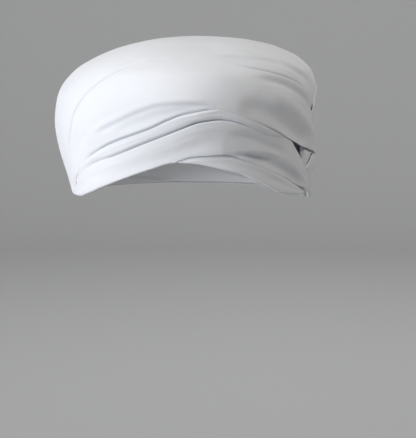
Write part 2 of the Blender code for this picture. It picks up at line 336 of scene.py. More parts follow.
def turn_edges(turn, height):
    """The overlapped inner turns: each stands back from the one below it, with a soft edge."""
    slant = TURN_SLANT * math.sin(math.radians(turn - 40)) + TURN_WAVE * math.sin(math.radians(3 * turn))
    share = ((height + slant) / TURN_PITCH) % 1.0
    return TURN_STEP * (1 - share) * smooth_step(share / TURN_EDGE)


def core_rim(turn, inner, outer):
    """The rim: the edges of the wound layers side by side."""
    share = np.linspace(0, 1, RIM_ROWS + 2)[1:-1]
    wall = float(np.linalg.norm(outer - inner))
    layers = max(1, round(wall / LAYER))
    relief = LAYER_RELIEF * np.sqrt(np.abs(np.sin(share * layers * math.pi)))
    which = np.floor(share * layers)
    uneven = LAYER_UNEVEN * np.sin(which * 2.4 + math.radians(turn) * (2 + which % 3))
    points = inner + share[:, None] * (outer - inner)
    points[:, 2] -= relief + uneven
    return points


def core_points():
    """The core's sections, from the hollow's roof down the wall, across the rim and up the outside."""
    points, cloth, fold = [], [], []
    for turn in CORE_TURNS:
        foot = float(hem_at(turn)) + RIM_RECESS / MERIDIAN
        alongs = np.linspace(foot, CORE_TOP, OUTER_ROWS)
        beside = ((turn - SLIT_TURN) / SLIT_HALF_TURN) ** 2 + ((alongs - SLIT_ALONG) / SLIT_HALF_ALONG) ** 2
        in_slit = np.exp(-beside)
        ease = CORE_EASE * smooth_step((alongs - foot) * MERIDIAN / CORE_EASE_REACH)
        outer = above_form(float(turn), alongs, -CORE_DEPTH - ease - SLIT_DEPTH * in_slit)
        share = np.linspace(1, 0, WALL_ROWS + 1)[:-1]
        heights = outer[0][2] * np.sin(share * math.pi / 2) ** WALL_CROWDING
        outset = turn_edges(float(turn), heights) * smooth_step(-heights / TURN_FADE)
        inner = in_hollow(float(turn), heights, outset)
        rim = core_rim(float(turn), inner[0], outer[0])
        points.extend(inner[::-1])
        points.extend(rim)
        points.extend(outer)
        cloth.extend((x, z, y) for x, y, z in (*inner[::-1], *rim, *outer))
        # Painted shade: none on the hollow's wall, some along the rim between the layers, and more in the
        # slit
        fold.extend(np.concatenate([np.zeros(WALL_ROWS), np.full(RIM_ROWS, RIM_PAINTED_SHADE), SLIT_PAINTED_SHADE * in_slit]))
    return points, cloth, fold


def core():
    """The core as one closed mesh."""
    points, cloth, fold = core_points()
    rows, count = WALL_ROWS + RIM_ROWS + OUTER_ROWS, len(CORE_TURNS)
    faces = []
    for i in range(count):
        here, there = i * rows, (i + 1) % count * rows
        for j in range(rows - 1):
            faces.append((here + j, there + j, there + j + 1, here + j + 1))
    roof, top = len(points), len(points) + 1
    points.append((0.0, 0.0, 0.0))
    points.append((0.0, 0.0, CROWN_RISE - CORE_DEPTH - CORE_EASE))
    cloth.extend([(0, 0, 0), (0, 0, 0)])
    fold.extend([0, 0])
    for i in range(count):
        here, there = i * rows, (i + 1) % count * rows
        faces.append((there, here, roof))
        faces.append((here + rows - 1, there + rows - 1, top))
    # The inner cotton's painted shade is at half strength
    piece = cloth_object("inner_turns", points, faces, cloth, fold, cotton_cloth("inner_cotton", 0.5))
    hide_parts("under_wrap")


core()

# Laps over the brow, round the nape and over the crown
# The rest of the same cloth, drawn round in folded laps a little over a millimetre thick.
# Each one lies over or under the next along its edges, and friction alone holds them.

# The line at the top of each lap, from the hem up, and the foot of the panel where it hangs free at
# image right. Columns: turn; along; which lap lies on top there, from -1 for the one below the line
# to 1 for the one above it, and 0 where they lie edge to edge
BROW_RIGHT_TOP = [
    (1, 0.190, 0.5),
    (8, 0.208, 0.7),
    (15, 0.2145, 1),
    (21, 0.217, 1),
    (25, 0.213, 0.5),
    (30, 0.200, 0.2),
    (36, 0.182, 0.1),
    (42, 0.165, 0.08),
    (51, 0.136, 0.15),
    (58, 0.112, 0.4),
    (64, 0.091, 0.8),
    (70, 0.073, 1),
    (74, 0.062, 0.9),
    (75.5, 0.056, 0.7),
    (76.5, 0.049, 0.5),
]
BROW_LEFT_TOP = [
    (-66, 0.052, 0),
    (-60, 0.078, 0),
    (-52, 0.117, 0),
    (-47, 0.143, -0.03),
    (-43, 0.160, -0.12),
    (-37, 0.180, -0.5),
    (-26, 0.208, -1),
    (-9, 0.264, -1),
    (7, 0.318, -1),
    (12, 0.331, -1),
    (20, 0.337, -0.9),
    (26, 0.331, -0.5),
    (34, 0.311, -0.12),
    (42, 0.288, -0.03),
    (50, 0.269, 0),
    (56, 0.257, -0.1),
    (59, 0.248, -0.3),
    (61, 0.231, -0.6),
    (63, 0.211, -0.9),
    (67, 0.179, -1),
    (74, 0.132, -1),
    (80, 0.088, -1),
    (85, 0.053, -1),
    (88, 0.034, -1),
    (91, 0.016, -1),
]
PLEAT_TOP = [
    (-58, 0.100, 0),
    (-50, 0.148, 0),
    (-46, 0.171, -0.05),
    (-43, 0.187, -0.15),
    (-39, 0.204, -0.4),
    (-32, 0.231, -0.9),
    (-26, 0.252, -1),
    (-9, 0.306, -1),
    (-2, 0.335, -1),
    (4, 0.355, -0.9),
    (10, 0.366, -0.6),
    (16, 0.374, -0.3),
    (21, 0.375, 0),
    (27, 0.363, 0.06),
    (34, 0.341, 0.1),
    (42, 0.3115, 0.25),
    (48, 0.289, 0.6),
    (54, 0.268, 0.95),
    (58, 0.2545, 1),
]
NAPE_TOP = [
    (73, 0.138, -0.6),
    (77, 0.160, -0.9),
    (82, 0.186, -1),
    (85, 0.185, -0.9),
    (92, 0.163, -0.5),
    (99, 0.150, 0),
    (106, 0.144, 0.5),
    (114, 0.144, 1),
    (150, 0.164, 1),
    (210, 0.160, 1),
    (260, 0.150, 1),
]
BACK_TOP = [
    (65.5, 0.140, 1),
    (68.5, 0.163, 1),
    (70, 0.186, 1),
    (71.7, 0.2165, 1),
    (74, 0.2115, 1),
    (78, 0.204, 1),
    (84, 0.194, 1),
    (92, 0.178, 1),
    (100, 0.171, 1),
    (110, 0.182, 1),
    (125, 0.235, 1),
    (150, 0.322, 1),
    (180, 0.362, 1),
    (210, 0.350, 1),
    (222, 0.337, 0.5),
    (228, 0.330, 0),
    (248, 0.300, 0),
]
UPPER_FOOT = [
    (58, 0.2545, 1),
    (62, 0.242, 1),
    (66, 0.229, 1),
    (70, 0.2195, 1),
    (73, 0.2135, 1),
]
UPPER_TOP = [
    (-66, 0.052, 0),
    (-62, 0.088, -0.1),
    (-60, 0.117, -0.3),
    (-57, 0.172, -0.8),
    (-54, 0.238, -1),
    (-51, 0.291, -1),
    (-48, 0.350, -1),
    (-45, 0.388, -1),
    (-41, 0.432, -1),
    (-35, 0.496, -0.6),
    (-30, 0.532, -0.25),
    (-26, 0.556, -0.08),
    (-20, 0.581, 0),
    (-12, 0.603, 0),
    (0, 0.612, 0),
    (18, 0.604, 0),
    (28, 0.575, 0),
    (36, 0.549, -0.2),
    (44, 0.530, -0.4),
    (51, 0.508, -0.6),
    (57, 0.487, -0.7),
    (62, 0.467, -0.9),
    (66, 0.446, -1),
    (69, 0.420, -1),
    (71.5, 0.390, -1),
    (74, 0.358, -1),
    (76, 0.346, -1),
    (78, 0.365, -1),
    (80, 0.385, -0.6),
    (82, 0.398, -0.1),
    (84, 0.409, 0),
    (88, 0.421, 0),
    (94, 0.434, 0),
    (106, 0.450, -0.4),
    (114, 0.458, -0.9),
    (120, 0.470, -1),
    (150, 0.495, -1),
    (180, 0.520, -1),
    (192, 0.512, -0.5),
    (198, 0.505, 0),
    (204, 0.490, 0.5),
    (210, 0.465, 1),
    (220, 0.400, 1),
    (230, 0.322, 1),
    (240, 0.235, 1),
    (248, 0.155, 1),
    (255, 0.085, 1),
    (261, 0.030, 1),
]

# Laps from the hem up. Columns: name; line at its top; where it starts and ends; rows between its edges
LAPS = [
    ("brow_wrap_right", BROW_RIGHT_TOP, 1, 76.5, 10),
    ("brow_wrap_left", BROW_LEFT_TOP, -66, 90, 14),
    ("brow_pleat", PLEAT_TOP, -58, 58, 6),
    ("nape_wrap", NAPE_TOP, 73, 260, 20),
    ("back_wrap", BACK_TOP, 66, 247, 18),
    ("upper_wrap", UPPER_TOP, -62, 228, 30),
    ("crown_wrap", None, -96, 264, 84),
]

# Soft folds drawn in a lap. Columns: lap; how far the side above stands proud, how deep the fold's
# own valley is, below 0 for a ridge, and its half width, all in millimetres; how much painted shade
# darkens its valley; its path as turns and alongs
FOLDS = [
    (
        "upper_wrap", 1.1, 0.7, 1.5, 0.4,
        [(-38, 0.272), (-24, 0.327), (-11, 0.376), (-5, 0.392), (6, 0.399), (13, 0.396), (21, 0.382)],
    ),
    ("upper_wrap", 0.0, 0.9, 3.2, 0.2, [(-27, 0.285), (-12, 0.338), (-2, 0.366), (8, 0.381), (17, 0.385)]),
    ("upper_wrap", 0.0, 1.0, 2.4, 0.2, [(76, 0.345), (68, 0.398), (60, 0.436), (52, 0.466), (36, 0.500)]),
    ("upper_wrap", 0.0, 2.5, 6.0, 0.0, [(74, 0.232), (63, 0.262), (52, 0.312), (41, 0.364), (28, 0.396)]),
    ("upper_wrap", 0.0, -1.6, 5.2, 0.0, [(84, 0.225), (78, 0.264), (69, 0.312), (55, 0.388), (40, 0.430)]),
    ("upper_wrap", 0.0, 1.5, 2.2, 0.7, [(77, 0.352), (76.5, 0.330), (77, 0.310), (78, 0.290), (80, 0.26)]),
    (
        "upper_wrap", 0.0, 0.5, 3.0, 0.0,
        [(-57, 0.140), (-50, 0.210), (-42, 0.270), (-32, 0.330), (-20, 0.370)],
    ),
    (
        "crown_wrap", 0.4, 1.1, 2.8, 0.2,
        [(22, 0.622), (34, 0.616), (42, 0.600), (49, 0.585), (59, 0.559), (68, 0.500), (74, 0.420)],
    ),
    ("crown_wrap", 0.0, 1.0, 2.6, 0.1, [(77, 0.40), (74, 0.47), (66, 0.53), (56, 0.60), (40, 0.66)]),
    ("crown_wrap", 0.0, 1.0, 2.2, 0.2, [(77, 0.38), (80, 0.45), (80, 0.53), (74, 0.61), (60, 0.69)]),
    ("crown_wrap", 0.0, 0.8, 2.6, 0.0, [(81, 0.42), (86, 0.49), (92, 0.56), (98, 0.64)]),
    (
        "brow_wrap_left", 0.0, -0.7, 1.8, 0.0,
        [(23, 0.219), (29, 0.2235), (35, 0.2215), (40, 0.2145), (48, 0.206), (55, 0.197)],
    ),
    (
        "brow_wrap_left", 0.0, 1.3, 2.2, 0.4,
        [(22, 0.2125), (27, 0.2145), (32, 0.2135), (38, 0.206), (45, 0.198), (52, 0.186)],
    ),
    (
        "brow_wrap_left", 0.0, 2.3, 4.6, 0.1,
        [(30, 0.200), (38, 0.193), (46, 0.176), (54, 0.146), (62, 0.111), (69, 0.082), (74, 0.066)],
    ),
    (
        "brow_wrap_left", 0.0, 1.0, 3.0, 0.1,
        [(22, 0.288), (30, 0.280), (37, 0.262), (44, 0.240), (51, 0.218), (58, 0.199)],
    ),
    ("brow_wrap_left", 0.0, 0.4, 2.4, 0.0, [(-63, 0.050), (-54, 0.080), (-44, 0.120), (-32, 0.155)]),
    (
        "brow_wrap_right", 0.0, 0.5, 2.8, 0.0,
        [(12, 0.198), (24, 0.185), (36, 0.158), (48, 0.115), (62, 0.07)],
    ),
    (
        "crown_wrap", 0.0, 0.9, 1.5, 0.7,
        [(-58, 0.156), (-54, 0.243), (-48, 0.355), (-41, 0.437), (-33, 0.515), (-27, 0.556), (-20, 0.586)],
    ),
    ("back_wrap", 0.8, 0.8, 1.0, 0.5, [(71, 0.150), (73, 0.170), (75.5, 0.188), (78, 0.204)]),
]

# Long gathers that follow a lap. Columns: lap; turn and share of the lap's height where the gather
# starts, then where it ends; its depth and its half width in millimetres
GATHERS = [
    ("upper_wrap", 92, 0.30, 190, 0.52, 0.7, 3.6),
    ("upper_wrap", 84, 0.62, 172, 0.36, 0.6, 3.0),
    ("upper_wrap", 112, 0.82, 214, 0.74, 0.8, 3.0),
    ("upper_wrap", 150, 0.15, 222, 0.35, 0.6, 3.2),
    ("back_wrap", 92, 0.38, 198, 0.52, 0.7, 3.2),
    ("back_wrap", 124, 0.72, 238, 0.60, 0.6, 2.8),
    ("back_wrap", 150, 0.28, 244, 0.36, 0.5, 2.4),
    ("nape_wrap", 84, 0.62, 176, 0.42, 0.7, 3.4),
    ("nape_wrap", 128, 0.74, 250, 0.48, 0.6, 3.0),
    ("crown_wrap", 96, 0.14, 208, 0.34, 0.9, 3.8),
    ("crown_wrap", 104, 0.30, 186, 0.46, 0.7, 3.6),
    ("crown_wrap", 150, 0.12, 246, 0.30, 0.8, 3.4),
    ("crown_wrap", 200, 0.36, 262, 0.46, 0.7, 4.0),
]
GATHER_BOW = 0.05

# Sections stand closer where lines are steep or cross. Columns: first turn; last turn; step. A lap is
# there only where it is higher than LEAST_HEIGHT, a share of the way to the crown
SECTIONS = [(-96, -66, 1.0), (-66, -44, 0.5), (-44, 16, 0.8), (16, 84, 0.4), (84, 264, 1.0)]
LEAST_HEIGHT = 0.002

# Rows beside an edge, by their distance from it. They draw together in a lap lower than EDGE_FITS
EDGE_ROWS = np.array([0, 0.12, 0.3, 0.55, 0.9, 1.4, 2.1, 3.1, 4.4]) * MM
EDGE_FITS = 0.012
CROWN_LAST_RING = 0.985

# A tuck beneath the neighbour: its length, the share of the neighbour's height that it may take, its
# least length, its rows and how far it drops
LAP_TUCK = 0.003
TUCK_SHARE = 0.35
LEAST_TUCK = 0.0015
TUCK_ROWS = 4
TUCK_DROP = 0.0022

# A lap swells between its edges, less so when it is lower than WIDE_LAP or runs on smoothly into its
# neighbour, which is eased over SWELL_EASE degrees
LAP_BULGE = 0.0012
WIDE_LAP = 0.040
SWELL_EASE = 6

# An edge on top lifts, and one beneath dips, over a reach. A lap lower than FIRM_LAP does less of both
LIFT = 0.0013
LIFT_REACH = 0.016
DIP = 0.0012
DIP_REACH = 0.0022
FIRM_LAP = 0.005

# Radius of an edge on top, of one at a seam, and what is added half way between the two. Beside an edge
# that goes under, painted shade darkens the cloth over CREASE_REACH
ROUNDING = 0.0006
SEAM_ROUNDING = 0.00003
SOFT_ROUNDING = 0.0012
CREASE_REACH = 0.0010

# The pleat stands a little proud, but not at its ends or where it crosses the brow lap. The last four
# are turns and numbers of degrees
PLEAT_LEVEL = 0.0009
PLEAT_RISE = -52
PLEAT_FADE = 16
PLEAT_CROSSING = 21
CROSSING_REACH = 8

# A drawn fold: the points along its path, which are spaced by what a degree and a whole along measure
# in millimetres, how it fades towards and past its ends, how far its step reaches in half widths, and
# the low ridge on either side of its valley
FOLD_POINTS = 120
MM_A_DEGREE = 1.6
MM_AN_ALONG = 200
FOLD_FADE = 0.018
FOLD_PAST = 0.004
STEP_REACH = 2.8
RIDGE_SHARE = 0.2
RIDGE_PLACE = 2
FOLD_BATCH = 20000

# Tension folds too fine to draw. Those of the crown run across it at CROWN_WAY degrees, and those of the
# other laps run round it, where a radian of turn is CLOTH_RADIUS of cloth
RIPPLE = 0.00022
CROWN_WAY = 62
CLOTH_RADIUS = 0.1


def line_at(rows, turn):
    """A line's along at each turn, and which lap lies on top there."""
    turns, alongs, overs = (np.array(column, float) for column in zip(*rows))
    return curve_through(turns, alongs, turn), np.interp(turn, turns, overs)


TURNS = np.concatenate([np.arange(first, last, step) for first, last, step in SECTIONS])


def swell_share(lap):
    """How far a lap swells at each turn: hardly, where it runs on smoothly into its neighbour."""
    foot = np.where(lap["foot_free"], 1, np.minimum(1, 3 * np.abs(lap["foot_over"])))
    head = np.where(lap["above_height"] > 0, np.minimum(1, 3 * np.abs(lap["head_over"])), 1)
    apart = (TURNS[:, None] - TURNS + 180) % 360 - 180
    weights = np.exp(-((apart / SWELL_EASE) ** 2)) * lap["here"]
    return weights @ (foot * head) / np.maximum(weights.sum(axis=1), 1e-9)


def pleat_level(end):
    """How far the pleat stands proud at each turn."""
    inside = smooth_step((TURNS - PLEAT_RISE) / PLEAT_FADE) * smooth_step((end - TURNS) / PLEAT_FADE)
    apart = 1 - np.exp(-(((TURNS - PLEAT_CROSSING) / CROSSING_REACH) ** 2))
    return PLEAT_LEVEL * inside * apart


def stacks():
    """Each lap's foot and head at each turn, how they meet the laps beside them, and where it is."""
    count = len(TURNS)
    floor, floor_over = hem_at(TURNS), np.zeros(count)
    free = np.ones(count, bool)
    crown_foot, crown_over = line_at(UPPER_TOP, TURNS)
    at_hem = (TURNS < UPPER_TOP[0][0]) | (TURNS > UPPER_TOP[-1][0])
    crown_foot, crown_over = np.where(at_hem, floor, crown_foot), np.where(at_hem, 0, crown_over)
    below_height, below_level = np.zeros(count), np.zeros(count)
    found, owner = {}, np.full(count, -1)
    for k, (name, rows, start, end, _) in enumerate(LAPS):
        here = (TURNS >= start) & (TURNS <= end)
        lap = {"foot": floor.copy(), "foot_over": floor_over.copy(), "foot_free": free.copy()}
        lap["below_height"], lap["below_level"] = below_height.copy(), below_level.copy()
        lap["level"] = pleat_level(end) if name == "brow_pleat" else np.zeros(count)
        if rows is None:
            lap["foot"], lap["foot_over"] = crown_foot.copy(), crown_over.copy()
            lap["head"], lap["head_over"] = np.ones(count), np.zeros(count)
        else:
            lap["head"], lap["head_over"] = line_at(rows, TURNS)
        if name == "upper_wrap":
            window = (TURNS >= UPPER_FOOT[0][0]) & (TURNS <= UPPER_FOOT[-1][0])
            own = line_at(UPPER_FOOT, TURNS)[0]
            lap["foot"] = np.where(window, np.maximum(floor, own), lap["foot"])
            lap["foot_over"] = np.where(window, 1.0, lap["foot_over"])
        if rows is not None:
            cut = lap["head"] >= crown_foot
            lap["head"] = np.where(cut, crown_foot, lap["head"])
            lap["head_over"] = np.where(cut, crown_over, lap["head_over"])
        here &= lap["head"] - lap["foot"] > LEAST_HEIGHT
        lap["here"] = here
        lap["above_height"], lap["above_level"] = np.zeros(count), np.zeros(count)
        for i in np.flatnonzero(here):
            if owner[i] >= 0:
                under = found[LAPS[owner[i]][0]]
                under["above_height"][i] = lap["head"][i] - lap["foot"][i]
                under["above_level"][i] = lap["level"][i]
            owner[i] = k
        below_height = np.where(here, lap["head"] - lap["foot"], below_height)
        below_level = np.where(here, lap["level"], below_level)
        floor = np.where(here, lap["head"], floor)
        floor_over = np.where(here, lap["head_over"], floor_over)
        free = free & ~here
        found[name] = lap
    for lap in found.values():
        lap["swell"] = swell_share(lap)
    return found


STACKS = stacks()


def steepness(alongs):
    """How much longer a step along the meridian is than one straight across a line, at each turn."""
    level = np.linalg.norm(np.gradient(on_form(TURNS, np.full(len(TURNS), 0.3)), TURNS, axis=0), axis=1)
    rise = np.gradient(alongs, TURNS) * MERIDIAN
    return np.sqrt(1 + np.clip(rise / level, -3.2, 3.2) ** 2)


def edge_height(distance, on_top, beneath, rise, reach_limit):
    """Height that one edge gives a lap: raised where it lies on top, dipping where it goes under."""
    reach = min(LIFT_REACH, reach_limit)
    firm = min(1.0, reach_limit / FIRM_LAP)
    lift = firm * on_top * (LIFT + rise) * (1 - smooth_step(distance / reach))
    dip = firm * beneath * DIP * (1 - smooth_step(distance / min(DIP_REACH, reach_limit)))
    soft = 4 * on_top * (1 - on_top) * SOFT_ROUNDING
    radius = SEAM_ROUNDING + on_top * (ROUNDING - SEAM_ROUNDING) + soft
    inside = np.clip(1 - distance / radius, 0, 1)
    return lift - dip - radius * (1 - np.sqrt(1 - inside**2)) * (1 - beneath)


def beyond_edge(line, first, on_top, beneath, tuck, steep, sign):
    """The rows past an edge: on beneath the neighbour, or round the cloth's own fold."""
    share = np.arange(1, TUCK_ROWS + 1) / TUCK_ROWS
    if beneath > 0 or (sign < 0 and on_top == 0):
        alongs = line - sign * tuck * share * steep / MERIDIAN
        return alongs, first - TUCK_DROP * share
    swing = share * math.pi / 2
    depth = LAP_THICKNESS / 2
    alongs = line + sign * depth * on_top * (1 - np.cos(swing)) * steep / MERIDIAN
    return alongs, first - depth * np.sin(swing)


def nearness(distance):
    """How near a row is to a crease, from 0 to 1."""
    return np.exp(-((distance / CREASE_REACH) ** 2))


def lap_section(name, i, rows):
    """One section of a lap's outer face: its rows' alongs and heights, from the lower edge up."""
    lap = STACKS[name]
    foot, head = lap["foot"][i], lap["head"][i]
    height = (head - foot) * MERIDIAN
    limit = 0.8 * height
    beside = EDGE_ROWS * min(1.0, height / EDGE_FITS)
    foot_over, head_over = lap["foot_over"][i], lap["head_over"][i]
    foot_top, head_top = max(0.0, foot_over), max(0.0, -head_over)
    foot_under, head_under = np.clip([-3 * foot_over, 3 * head_over], 0, 1)
    if lap["foot_free"][i]:
        foot_top, foot_under = max(foot_top, 0.5), 0.0
    if lap["above_height"][i] == 0 and name != "crown_wrap":
        head_top, head_under = 1.0, 0.0
    tucks = []
    for under, neighbour in ((foot_under, lap["below_height"][i]), (head_under, lap["above_height"][i])):
        wanted = min(LAP_TUCK, TUCK_SHARE * neighbour * MERIDIAN)
        tucks.append(min(LEAST_TUCK, 0.3 * height) + under * wanted)
    low = foot + beside * lap["steep_foot"][i] / MERIDIAN
    if name == "crown_wrap":
        high = np.array([])
        inner = low[-1] + (CROWN_LAST_RING - low[-1]) * np.linspace(0, 1, rows + 1)[1:]
    else:
        high = (head - beside * lap["steep_head"][i] / MERIDIAN)[::-1]
        inner = np.linspace(low[-1], high[0], rows + 2)[1:-1]
    alongs = np.concatenate([low, inner, high])
    span = (alongs - foot) / (head - foot)
    share = lap["swell"][i]
    if name == "crown_wrap":
        share = share + (1 - share) * smooth_step((span - 0.15) / 0.5)
    swell = LAP_BULGE * share * min(1.0, height / WIDE_LAP) * np.sin(np.pi * np.clip(span, 0, 1))
    from_foot = (alongs - foot) * MERIDIAN / lap["steep_foot"][i]
    from_head = (head - alongs) * MERIDIAN / lap["steep_head"][i]
    level = lap["level"][i]
    rise = lap["below_level"][i] - level
    heights = level + swell + edge_height(from_foot, foot_top, foot_under, rise, limit)
    if name != "crown_wrap":
        rise = lap["above_level"][i] - level
        heights = heights + edge_height(from_head, head_top, head_under, rise, limit)
    steep = lap["steep_foot"][i]
    below, below_heights = beyond_edge(foot, heights[0], foot_top, foot_under, tucks[0], steep, 1)
    # Painted shade beside an edge that goes under, and full along the rows tucked beneath the neighbour
    edge_shade = np.maximum(foot_under * nearness(from_foot), head_under * nearness(from_head))
    edge_shade = np.concatenate([np.full(TUCK_ROWS, foot_under), edge_shade])
    alongs, heights = np.concatenate([below[::-1], alongs]), np.concatenate([below_heights[::-1], heights])
    if name != "crown_wrap":
        steep = lap["steep_head"][i]
        past, past_heights = beyond_edge(head, heights[-1], head_top, head_under, tucks[1], steep, -1)
        alongs, heights = np.append(alongs, past), np.append(heights, past_heights)
        edge_shade = np.append(edge_shade, np.full(TUCK_ROWS, head_under))
    return alongs, heights, edge_shade


def gather_path(name, start, from_share, end, to_share):
    """A gather's path by turns and alongs, with a slight bow."""
    turns = np.linspace(start, end, 7)
    share = np.linspace(from_share, to_share, 7) + GATHER_BOW * np.sin(np.linspace(0, math.pi, 7))
    lap = STACKS[name]
    foot, head = np.interp(turns, TURNS, lap["foot"]), np.interp(turns, TURNS, lap["head"])
    return list(zip(turns, foot + share * (head - foot)))


def folds_of(name):
    """Every fold and gather of a lap, in the columns of FOLDS without the lap's name."""
    drawn = [fold[1:] for fold in FOLDS if fold[0] == name]
    for lap, start, from_share, end, to_share, depth, width in GATHERS:
        if lap == name:
            path = gather_path(name, start, from_share, end, to_share)
            drawn.append((0.5 * depth, depth, width, 0.0, path))
    return drawn


def fold_offset(name, base, normals):
    """Height that the folds drawn in a lap give each of its points, and the painted shade in their valleys.
    """
    height, painted_shade = np.zeros(len(base)), np.zeros(len(base))
    for step, valley, width, painted_valley_shade, path in folds_of(name):
        turns, alongs = np.array(path, float).T
        steps = np.hypot(np.diff(turns) * MM_A_DEGREE, np.diff(alongs) * MM_AN_ALONG)
        passed = np.concatenate([[0], np.cumsum(steps)])
        fine = np.linspace(0, passed[-1], FOLD_POINTS)
        line = on_form(curve_through(passed, turns, fine), curve_through(passed, alongs, fine))
        run = np.concatenate([[0], np.cumsum(np.linalg.norm(np.diff(line, axis=0), axis=1))])
        tangent = np.gradient(line, axis=0)
        tangent /= np.linalg.norm(tangent, axis=1, keepdims=True)
        for start in range(0, len(base), FOLD_BATCH):
            part = slice(start, start + FOLD_BATCH)
            gap = base[part][:, None, :] - line[None]
            nearest = np.argmin((gap**2).sum(axis=2), axis=1)
            away = gap[np.arange(len(nearest)), nearest]
            side = np.cross(normals[part], tangent[nearest])
            across = (away * side).sum(axis=1)
            up = np.where(side[:, 2] >= 0, 1, -1)
            offset = across * up / (width * MM)
            reach = run[nearest]
            past = np.abs((away * tangent[nearest]).sum(axis=1))
            fade = smooth_step(reach / FOLD_FADE) * smooth_step((run[-1] - reach) / FOLD_FADE)
            fade = fade * np.exp(-((past / FOLD_PAST) ** 2))
            near = np.exp(-(offset**2))
            far = np.exp(-((offset / STEP_REACH) ** 2))
            shape = step * MM * (0.5 * np.tanh(offset * 1.2) * far) - valley * MM * near
            ridge = RIDGE_SHARE * valley * MM * np.exp(-((np.abs(offset) - RIDGE_PLACE) ** 2))
            height[part] += fade * (shape + ridge)
            # Painted shade in the fold's valley
            painted_shade[part] = np.maximum(painted_shade[part], fade * near * painted_valley_shade)
    return height, painted_shade


def ripples(points, seed):
    """Smooth noise from -1 to 1 at each point of an array."""
    shift = Vector((seed * 17.3, seed * 5.1, seed * 9.7))
    return np.array([noise.noise(Vector(p) + shift) for p in points])


def lap_ripples(name, turns, spans, base):
    """Fine tension folds that run the lap's way and gather where it narrows."""
    seed = [lap[0] for lap in LAPS].index(name)
    if name == "crown_wrap":
        way = np.array([math.cos(math.radians(CROWN_WAY)), math.sin(math.radians(CROWN_WAY)), 0.0])
        side = np.array([-way[1], way[0], 0.0])
        places = np.stack([base @ way * 9, base @ side * 95, base[:, 2] * 30], axis=1)
    else:
        places = np.stack([np.radians(turns) * CLOTH_RADIUS * 13, spans * 7, base[:, 2] * 3], axis=1)
    long_ones = ripples(places, seed)
    broad = ripples(places * np.array([1.3, 0.45, 1.0]), seed + 20)
    where = 0.5 + 0.5 * ripples(base * 28, seed + 40)
    return RIPPLE * (long_ones * where * 1.4 + broad * 1.8)


def lap_piece(name, rows, material):
    """A lap: its outer face with edges, folds and ripples, and an inner face that follows the folds."""
    lap = STACKS[name]
    lap["steep_foot"], lap["steep_head"] = steepness(lap["foot"]), steepness(lap["head"])
    index = np.flatnonzero(lap["here"])
    alongs, heights, edge_shades = (np.array(a) for a in zip(*(lap_section(name, i, rows) for i in index)))
    turns = np.repeat(TURNS[index][:, None], alongs.shape[1], axis=1)
    feet, heads = lap["foot"][index][:, None], lap["head"][index][:, None]
    spans = np.clip((alongs - feet) / (heads - feet), 0, 1)
    base = on_form(turns, alongs).reshape(-1, 3)
    normals = outward(turns, alongs).reshape(-1, 3)
    drawn, painted_shade = fold_offset(name, base, normals)
    wavy = lap_ripples(name, turns.ravel(), spans.ravel(), base)
    calm = np.ones(alongs.shape)
    calm[:, :TUCK_ROWS] = 0
    if name != "crown_wrap":
        calm[:, -TUCK_ROWS:] = 0
    lifts = heights.ravel() - LAP_DEPTH + calm.ravel() * (drawn + wavy)
    outer = (base + normals * lifts[:, None]).reshape(*alongs.shape, 3)
    inner_index = inner_rows(name, alongs.shape[1])
    sunk = np.minimum(drawn, 0).reshape(alongs.shape)
    sunk = np.minimum.reduce([np.roll(sunk, step, axis=1) for step in range(-3, 4)])
    under = (heights + sunk)[:, inner_index] - LAP_DEPTH - LAP_THICKNESS
    inner = above_form(turns[:, inner_index], alongs[:, inner_index], under)
    # Painted shade from the drawn folds and beside the edges that go under
    painted_shade = np.maximum(painted_shade.reshape(alongs.shape), edge_shades)
    return join_sections(name, outer, inner, turns, alongs, painted_shade, inner_index, material)


def inner_rows(name, count):
    """Which outer rows have an inner one behind them, from the top down."""
    first, last = TUCK_ROWS + 5, count - 1 if name == "crown_wrap" else count - 1 - TUCK_ROWS - 5
    between = np.unique(np.linspace(first, last, max(2, (last - first) // 4)).astype(int))
    return between[::-1]


def join_sections(name, outer, inner, turns, alongs, painted_shade, inner_index, material):
    """A closed mesh from the outer and inner rows of all sections."""
    count, outer_rows, rows = len(outer), outer.shape[1], outer.shape[1] + inner.shape[1]
    points = np.concatenate([outer, inner], axis=1).reshape(-1, 3)
    angle, reach = np.radians(turns), (1 - alongs) * MERIDIAN
    places = np.stack([angle * CLOTH_RADIUS, alongs * MERIDIAN, np.zeros_like(alongs)], axis=2)
    if name == "crown_wrap":
        places = np.stack([np.sin(angle) * reach, np.cos(angle) * reach, np.zeros_like(alongs)], axis=2)
    cloth = np.concatenate([places, places[:, inner_index]], axis=1).reshape(-1, 3)
    # Painted shade lies on the outer face only
    fold = np.concatenate([painted_shade, np.zeros(inner.shape[:2])], axis=1).ravel()
    faces, whole = [], name == "crown_wrap"
    for i in range(count if whole else count - 1):
        here, there = i * rows, (i + 1) % count * rows
        for j in range(rows):
            if whole and j == outer_rows - 1:
                continue
            k = (j + 1) % rows
            faces.append((here + j, there + j, there + k, here + k))
    if whole:
        top = CROWN_RISE - LAP_DEPTH
        points = np.concatenate([points, [(0, 0, top), (0, 0, top - LAP_THICKNESS)]])
        cloth = np.concatenate([cloth, [(0, 0, 0), (0, 0, 0)]])
        fold = np.concatenate([fold, [0, 0]])
        for i in range(count):
            here, there = i * rows + outer_rows - 1, (i + 1) % count * rows + outer_rows - 1
            faces.append((here, there, len(points) - 2))
            faces.append((there + 1, here + 1, len(points) - 1))
    else:
        faces.append(tuple(range(rows))[::-1])
        faces.append(tuple((count - 1) * rows + j for j in range(rows)))
    return cloth_object(name + "_cloth", points, faces, cloth, fold, material)


# The painted shade of the laps' cotton is a little stronger
LAP_COTTON = cotton_cloth("wound_cotton", 0.55)

for lap_name, _, _, _, lap_rows in LAPS:
    lap = lap_piece(lap_name, lap_rows, LAP_COTTON)
    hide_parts(lap_name)

